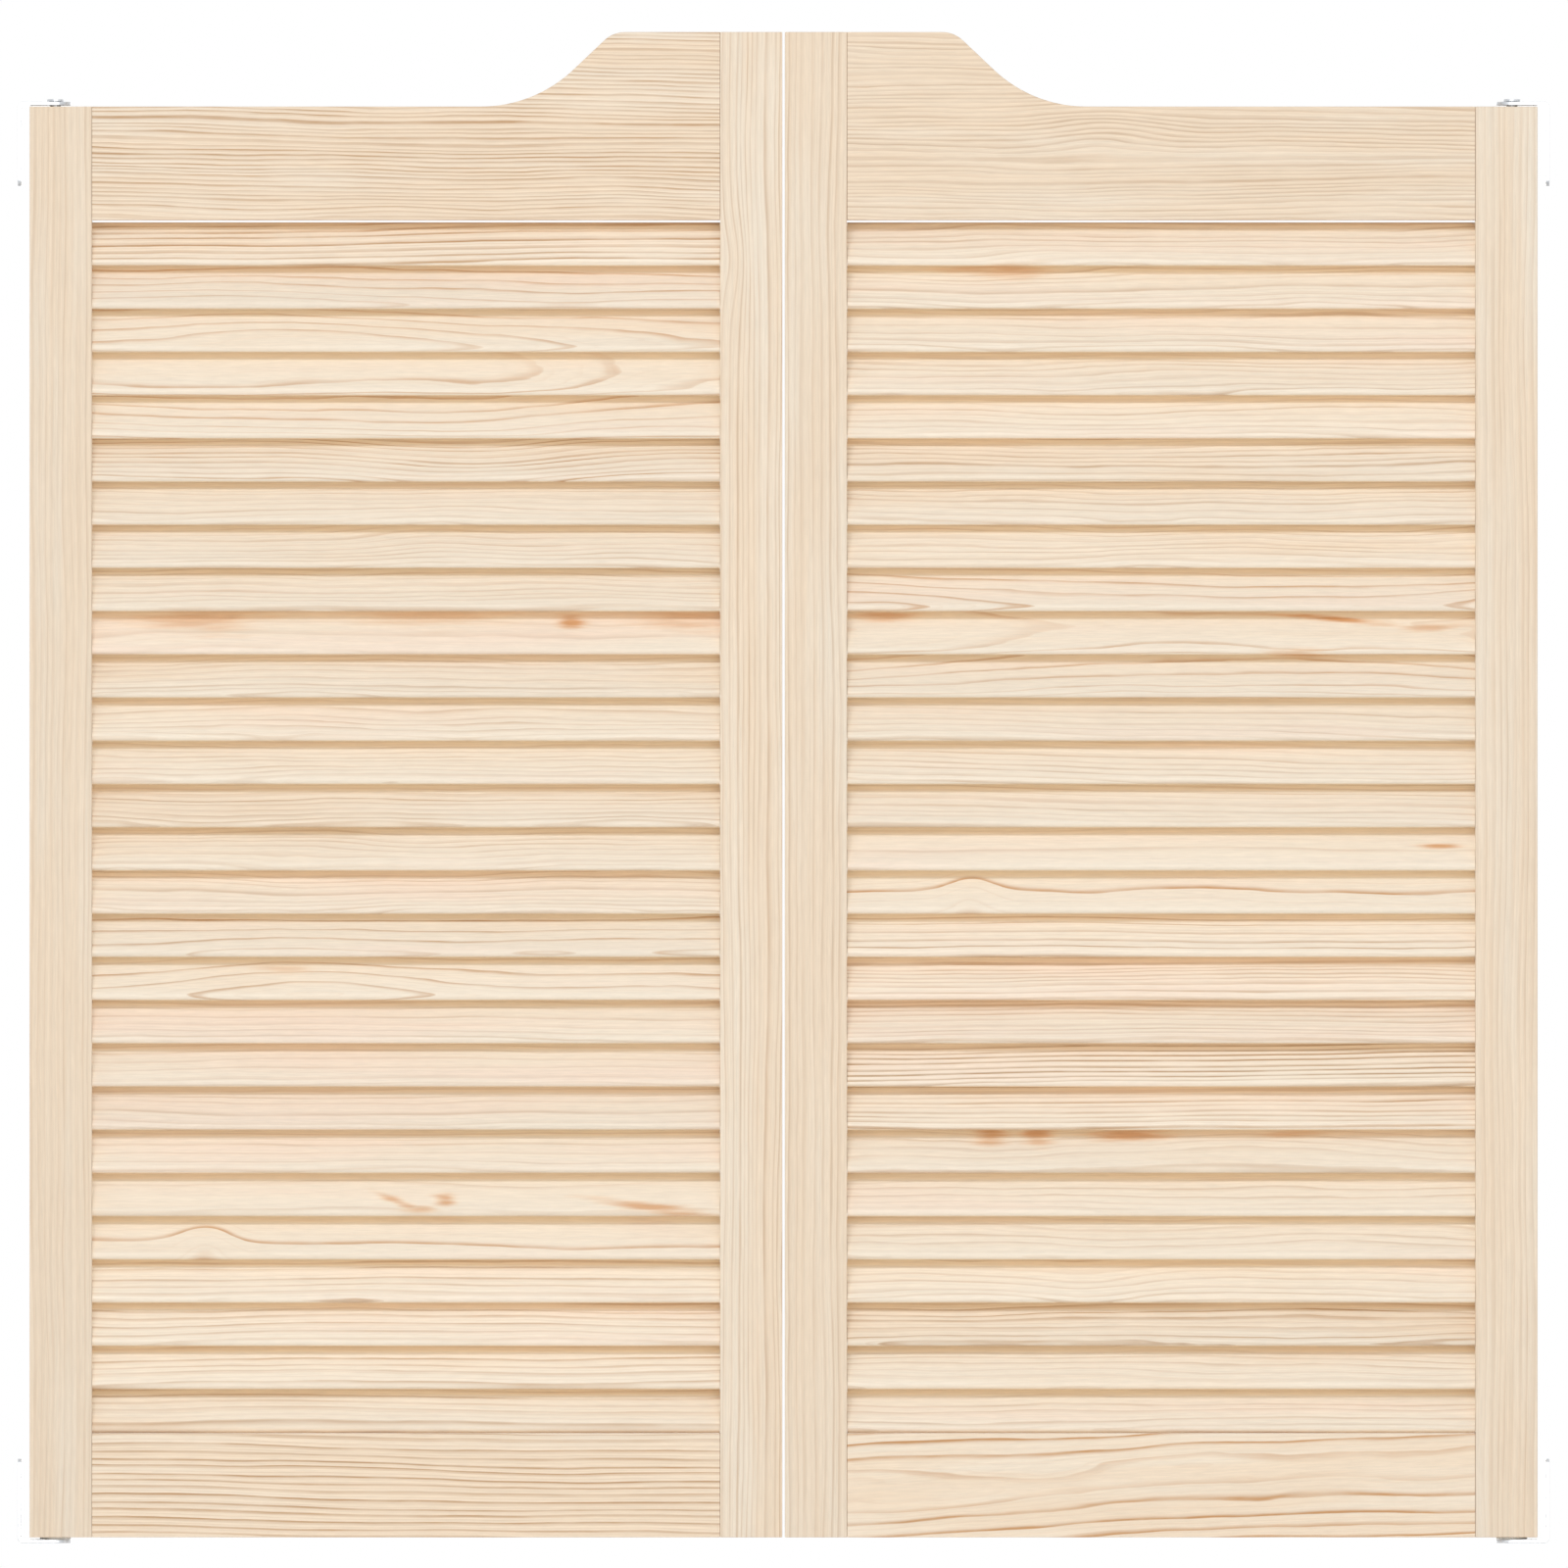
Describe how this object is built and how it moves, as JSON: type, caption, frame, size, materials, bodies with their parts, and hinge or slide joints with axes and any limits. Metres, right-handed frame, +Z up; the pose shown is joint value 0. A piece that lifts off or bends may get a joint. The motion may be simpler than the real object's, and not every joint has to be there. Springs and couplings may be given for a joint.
{
  "type": "louvred cafe swinging door pair",
  "caption": "Pair of louvred pine cafe doors with an S-curved crest, each leaf swinging both ways on sprung pivots screwed to the door jambs.",
  "frame": {"origin": "midway between the two jamb faces, at mid thickness of the closed leaves, level with the underside of the bottom brackets", "axes": "+X across the doorway to the right seen from the front, +Y through the doorway to the back, +Z up"},
  "size_m": [1.0856, 0.0286, 1.0709],
  "materials": {
    "pine": "matte",
    "zinc_steel": "satin",
    "spring_steel": "satin",
    "nylon": "satin"
  },
  "bodies": {
    "jamb_fittings": {"left_bottom_bracket": "zinc_steel", "left_top_bracket": "zinc_steel", "left_bottom_pivot_shaft": "zinc_steel", "left_top_pivot_pin": "zinc_steel", "left_thrust_washer": "nylon", "right_bottom_bracket": "zinc_steel", "right_top_bracket": "zinc_steel", "right_bottom_pivot_shaft": "zinc_steel", "right_top_pivot_pin": "zinc_steel", "right_thrust_washer": "nylon"},
    "left_leaf": {"left_hinge_stile": "pine", "left_meeting_stile": "pine", "left_top_rail": "pine", "left_bottom_rail": "pine", "left_slat_pair_01": "pine", "left_slat_pair_02": "pine", "left_slat_pair_03": "pine", "left_slat_pair_04": "pine", "left_slat_pair_05": "pine", "left_slat_pair_06": "pine", "left_slat_pair_07": "pine", "left_slat_pair_08": "pine", "left_slat_pair_09": "pine", "left_slat_pair_10": "pine", "left_slat_pair_11": "pine", "left_slat_pair_12": "pine", "left_slat_pair_13": "pine", "left_slat_pair_14": "pine", "left_bottom_bush": "nylon", "left_top_bush": "nylon", "left_spring_cap": "nylon", "left_return_spring": "spring_steel"},
    "right_leaf": {"right_hinge_stile": "pine", "right_meeting_stile": "pine", "right_top_rail": "pine", "right_bottom_rail": "pine", "right_slat_pair_01": "pine", "right_slat_pair_02": "pine", "right_slat_pair_03": "pine", "right_slat_pair_04": "pine", "right_slat_pair_05": "pine", "right_slat_pair_06": "pine", "right_slat_pair_07": "pine", "right_slat_pair_08": "pine", "right_slat_pair_09": "pine", "right_slat_pair_10": "pine", "right_slat_pair_11": "pine", "right_slat_pair_12": "pine", "right_slat_pair_13": "pine", "right_slat_pair_14": "pine", "right_bottom_bush": "nylon", "right_top_bush": "nylon", "right_spring_cap": "nylon", "right_return_spring": "spring_steel"}
  },
  "joints": [
    {"name": "left_leaf_swing", "type": "hinge", "parent": "jamb_fittings", "child": "left_leaf", "pos_m": [-0.5163, 0, 0], "axis": [0, 0, 1], "range_deg": [-90, 90], "stiffness_Nm_per_rad": 1.5, "deforming": ["left_return_spring"]},
    {"name": "right_leaf_swing", "type": "hinge", "parent": "jamb_fittings", "child": "right_leaf", "pos_m": [0.5163, 0, 0], "axis": [0, 0, -1], "range_deg": [-90, 90], "stiffness_Nm_per_rad": 1.5, "deforming": ["right_return_spring"]}
  ]
}
